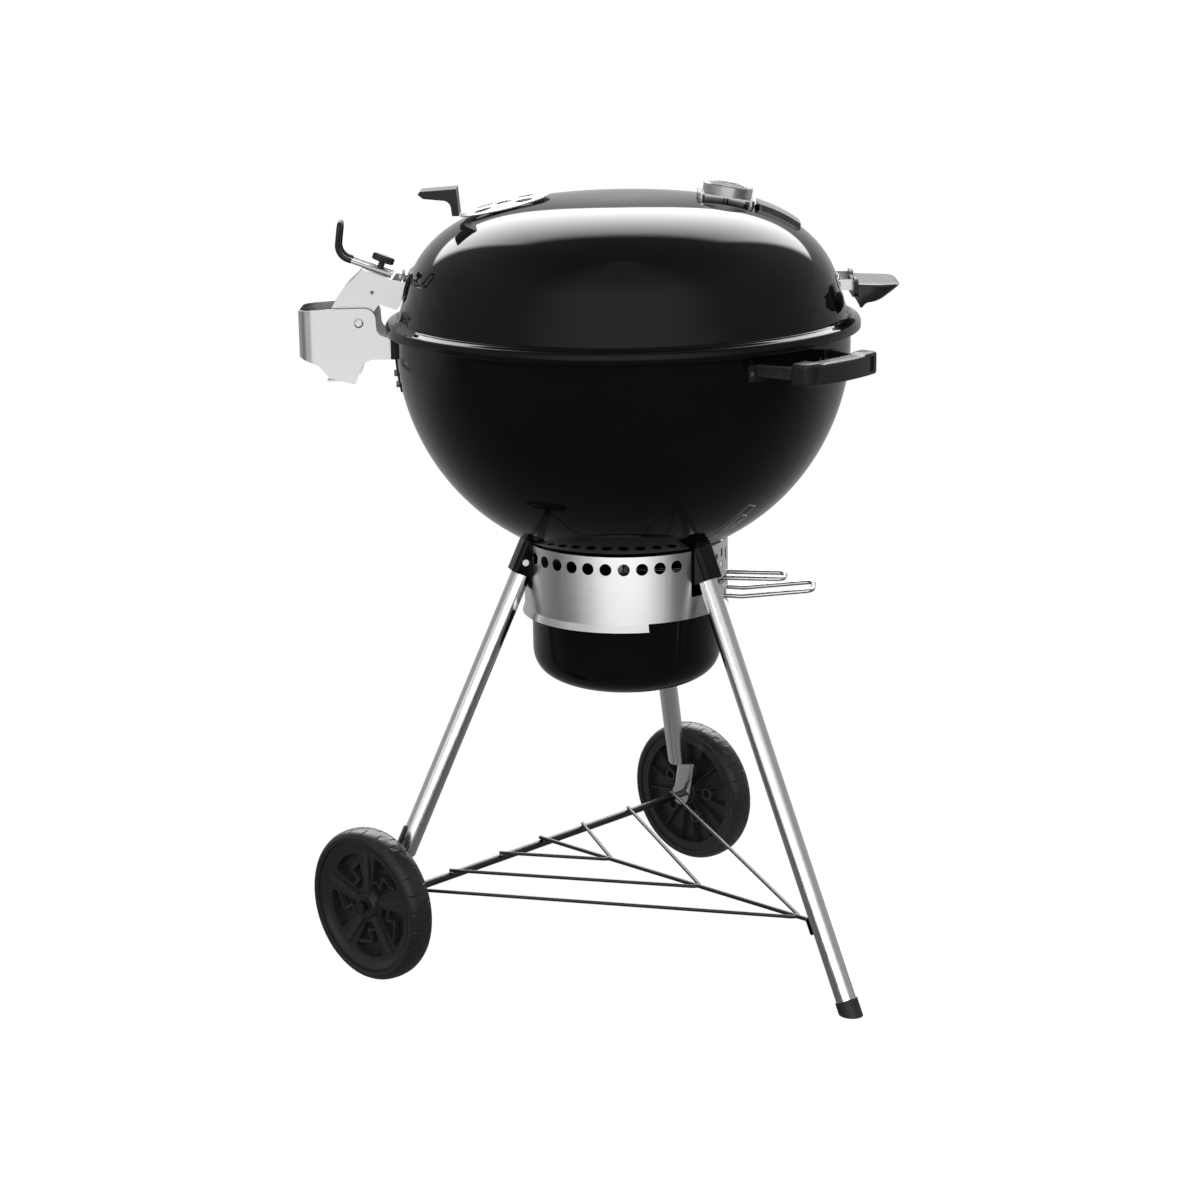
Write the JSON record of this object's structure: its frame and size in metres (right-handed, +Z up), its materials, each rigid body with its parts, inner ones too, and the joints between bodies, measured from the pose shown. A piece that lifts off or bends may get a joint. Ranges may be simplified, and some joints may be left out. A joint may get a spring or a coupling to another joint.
{
  "type": "kettle charcoal grill",
  "caption": "Kettle charcoal grill: domed lid on a rear hinge with damper and thermometer, bowl with ash pot and cleaning lever, three legs, axle wheels and a wire rack.",
  "frame": {"origin": "on the kettle's axis at floor level", "axes": "+Z up, +X towards the lid handle with the lid hinge at -X, -Y the side facing the viewer"},
  "size_m": [0.754, 0.7104, 1.0034],
  "materials": {
    "bowl_enamel": "glossy",
    "lid_enamel": "glossy",
    "bracket_enamel": "satin",
    "ring_steel": "satin",
    "leg_aluminium": "satin",
    "fastener": "satin",
    "black_plastic": "satin",
    "handle_nylon": "satin",
    "zinc_steel": "satin",
    "tyre": "matt",
    "sheet_aluminium": "satin",
    "chromed_wire": "glossy",
    "dark_wire": "satin",
    "raw_wire": "satin",
    "chrome": "glossy",
    "dial": "satin",
    "glass": "glossy",
    "needle": "satin"
  },
  "bodies": {
    "kettle": {"bowl": "bowl_enamel", "ash_ring": "ring_steel", "leg_front": "leg_aluminium", "leg_left": "leg_aluminium", "leg_back": "leg_aluminium", "leg_socket_front": "bowl_enamel", "leg_socket_left": "bowl_enamel", "leg_socket_back": "bowl_enamel", "socket_bolts": "fastener", "foot_cap": "black_plastic", "leg_plug_left": "black_plastic", "leg_plug_back": "black_plastic", "axle": "dark_wire", "wire_rack": "dark_wire", "cooking_grate": "chromed_wire", "grate_centre": "chromed_wire", "charcoal_grate": "raw_wire", "grate_rests": "zinc_steel", "charcoal_basket_near": "raw_wire", "charcoal_basket_far": "raw_wire", "bowl_handle_grip": "handle_nylon", "bowl_handle_frame": "black_plastic", "bowl_handle_bolts": "fastener", "hinge_housing": "ring_steel", "hinge_pin": "fastener", "hinge_spring": "zinc_steel", "hinge_bowl_bracket": "bracket_enamel", "hinge_bowl_bolts": "fastener"},
    "lid": {"lid": "lid_enamel", "damper_rivet": "fastener", "thermometer_base": "ring_steel", "thermometer_bezel": "chrome", "thermometer_dial": "dial", "thermometer_glass": "glass", "thermometer_probe": "chrome", "lid_cover_plate": "ring_steel", "lid_handle_grip": "handle_nylon", "lid_handle_bracket": "ring_steel", "lid_handle_bolts": "fastener", "hinge_lid_bracket": "bracket_enamel", "hinge_lever": "ring_steel", "hinge_lid_bolts": "fastener", "rear_hook": "zinc_steel", "rear_hook_sleeve": "handle_nylon"},
    "thermometer_needle": {"thermometer_needle": "needle"},
    "damper": {"damper_disc": "sheet_aluminium", "damper_grip": "handle_nylon"},
    "lid_knob": {"lid_knob": "black_plastic"},
    "cleaning_sweeper": {"sweeper": "sheet_aluminium", "sweeper_lever": "zinc_steel"},
    "ash_pot": {"ash_pot": "bowl_enamel", "ash_pot_handle": "zinc_steel"},
    "left_wheel": {"wheel_left": "black_plastic", "tyre_left": "tyre"},
    "back_wheel": {"wheel_back": "black_plastic", "tyre_back": "tyre"},
    "near_flap": {"grate_flap_near": "chromed_wire"},
    "far_flap": {"grate_flap_far": "chromed_wire"}
  },
  "joints": [
    {"name": "lid_hinge", "type": "hinge", "parent": "kettle", "child": "lid", "pos_m": [-0.328, 0, 0.837], "axis": [0, -1, 0], "range_deg": [0, 55]},
    {"name": "damper_turn", "type": "hinge", "parent": "lid", "child": "damper", "pos_m": [-0.145, 0, 0.97692], "axis": [-0.219, 0, 0.9757], "range_deg": [0, 45]},
    {"name": "needle_turn", "type": "hinge", "parent": "lid", "child": "thermometer_needle", "pos_m": [0.13, 0, 0.97992], "axis": [-0.1746, 0, -0.9846], "range_deg": [0, 270]},
    {"name": "knob_turn", "type": "hinge", "parent": "lid", "child": "lid_knob", "pos_m": [-0.304, 0, 0.8962], "axis": [0.3539, 0, 0.9353], "range_deg": [-90, 90]},
    {"name": "sweeper_turn", "type": "hinge", "parent": "kettle", "child": "cleaning_sweeper", "pos_m": [0, 0, 0.504], "axis": [0, 0, 1], "range_deg": [-14, 46]},
    {"name": "ash_pot_drop", "type": "slide", "parent": "kettle", "child": "ash_pot", "axis": [0, 0, -1], "range_m": [0, 0.15]},
    {"name": "left_wheel_spin", "type": "hinge", "parent": "kettle", "child": "left_wheel", "pos_m": [-0.33058, -0.11196, 0.0995], "axis": [0.6858, 0.7278, 0], "continuous": true},
    {"name": "back_wheel_spin", "type": "hinge", "parent": "kettle", "child": "back_wheel", "pos_m": [0.09216, 0.33664, 0.0995], "axis": [0.6858, 0.7278, 0], "continuous": true},
    {"name": "near_flap_turn", "type": "hinge", "parent": "kettle", "child": "near_flap", "pos_m": [0, -0.16, 0.797], "axis": [-1, 0, 0], "range_deg": [0, 95]},
    {"name": "far_flap_turn", "type": "hinge", "parent": "kettle", "child": "far_flap", "pos_m": [0, 0.16, 0.797], "axis": [1, 0, 0], "range_deg": [0, 95]}
  ]
}
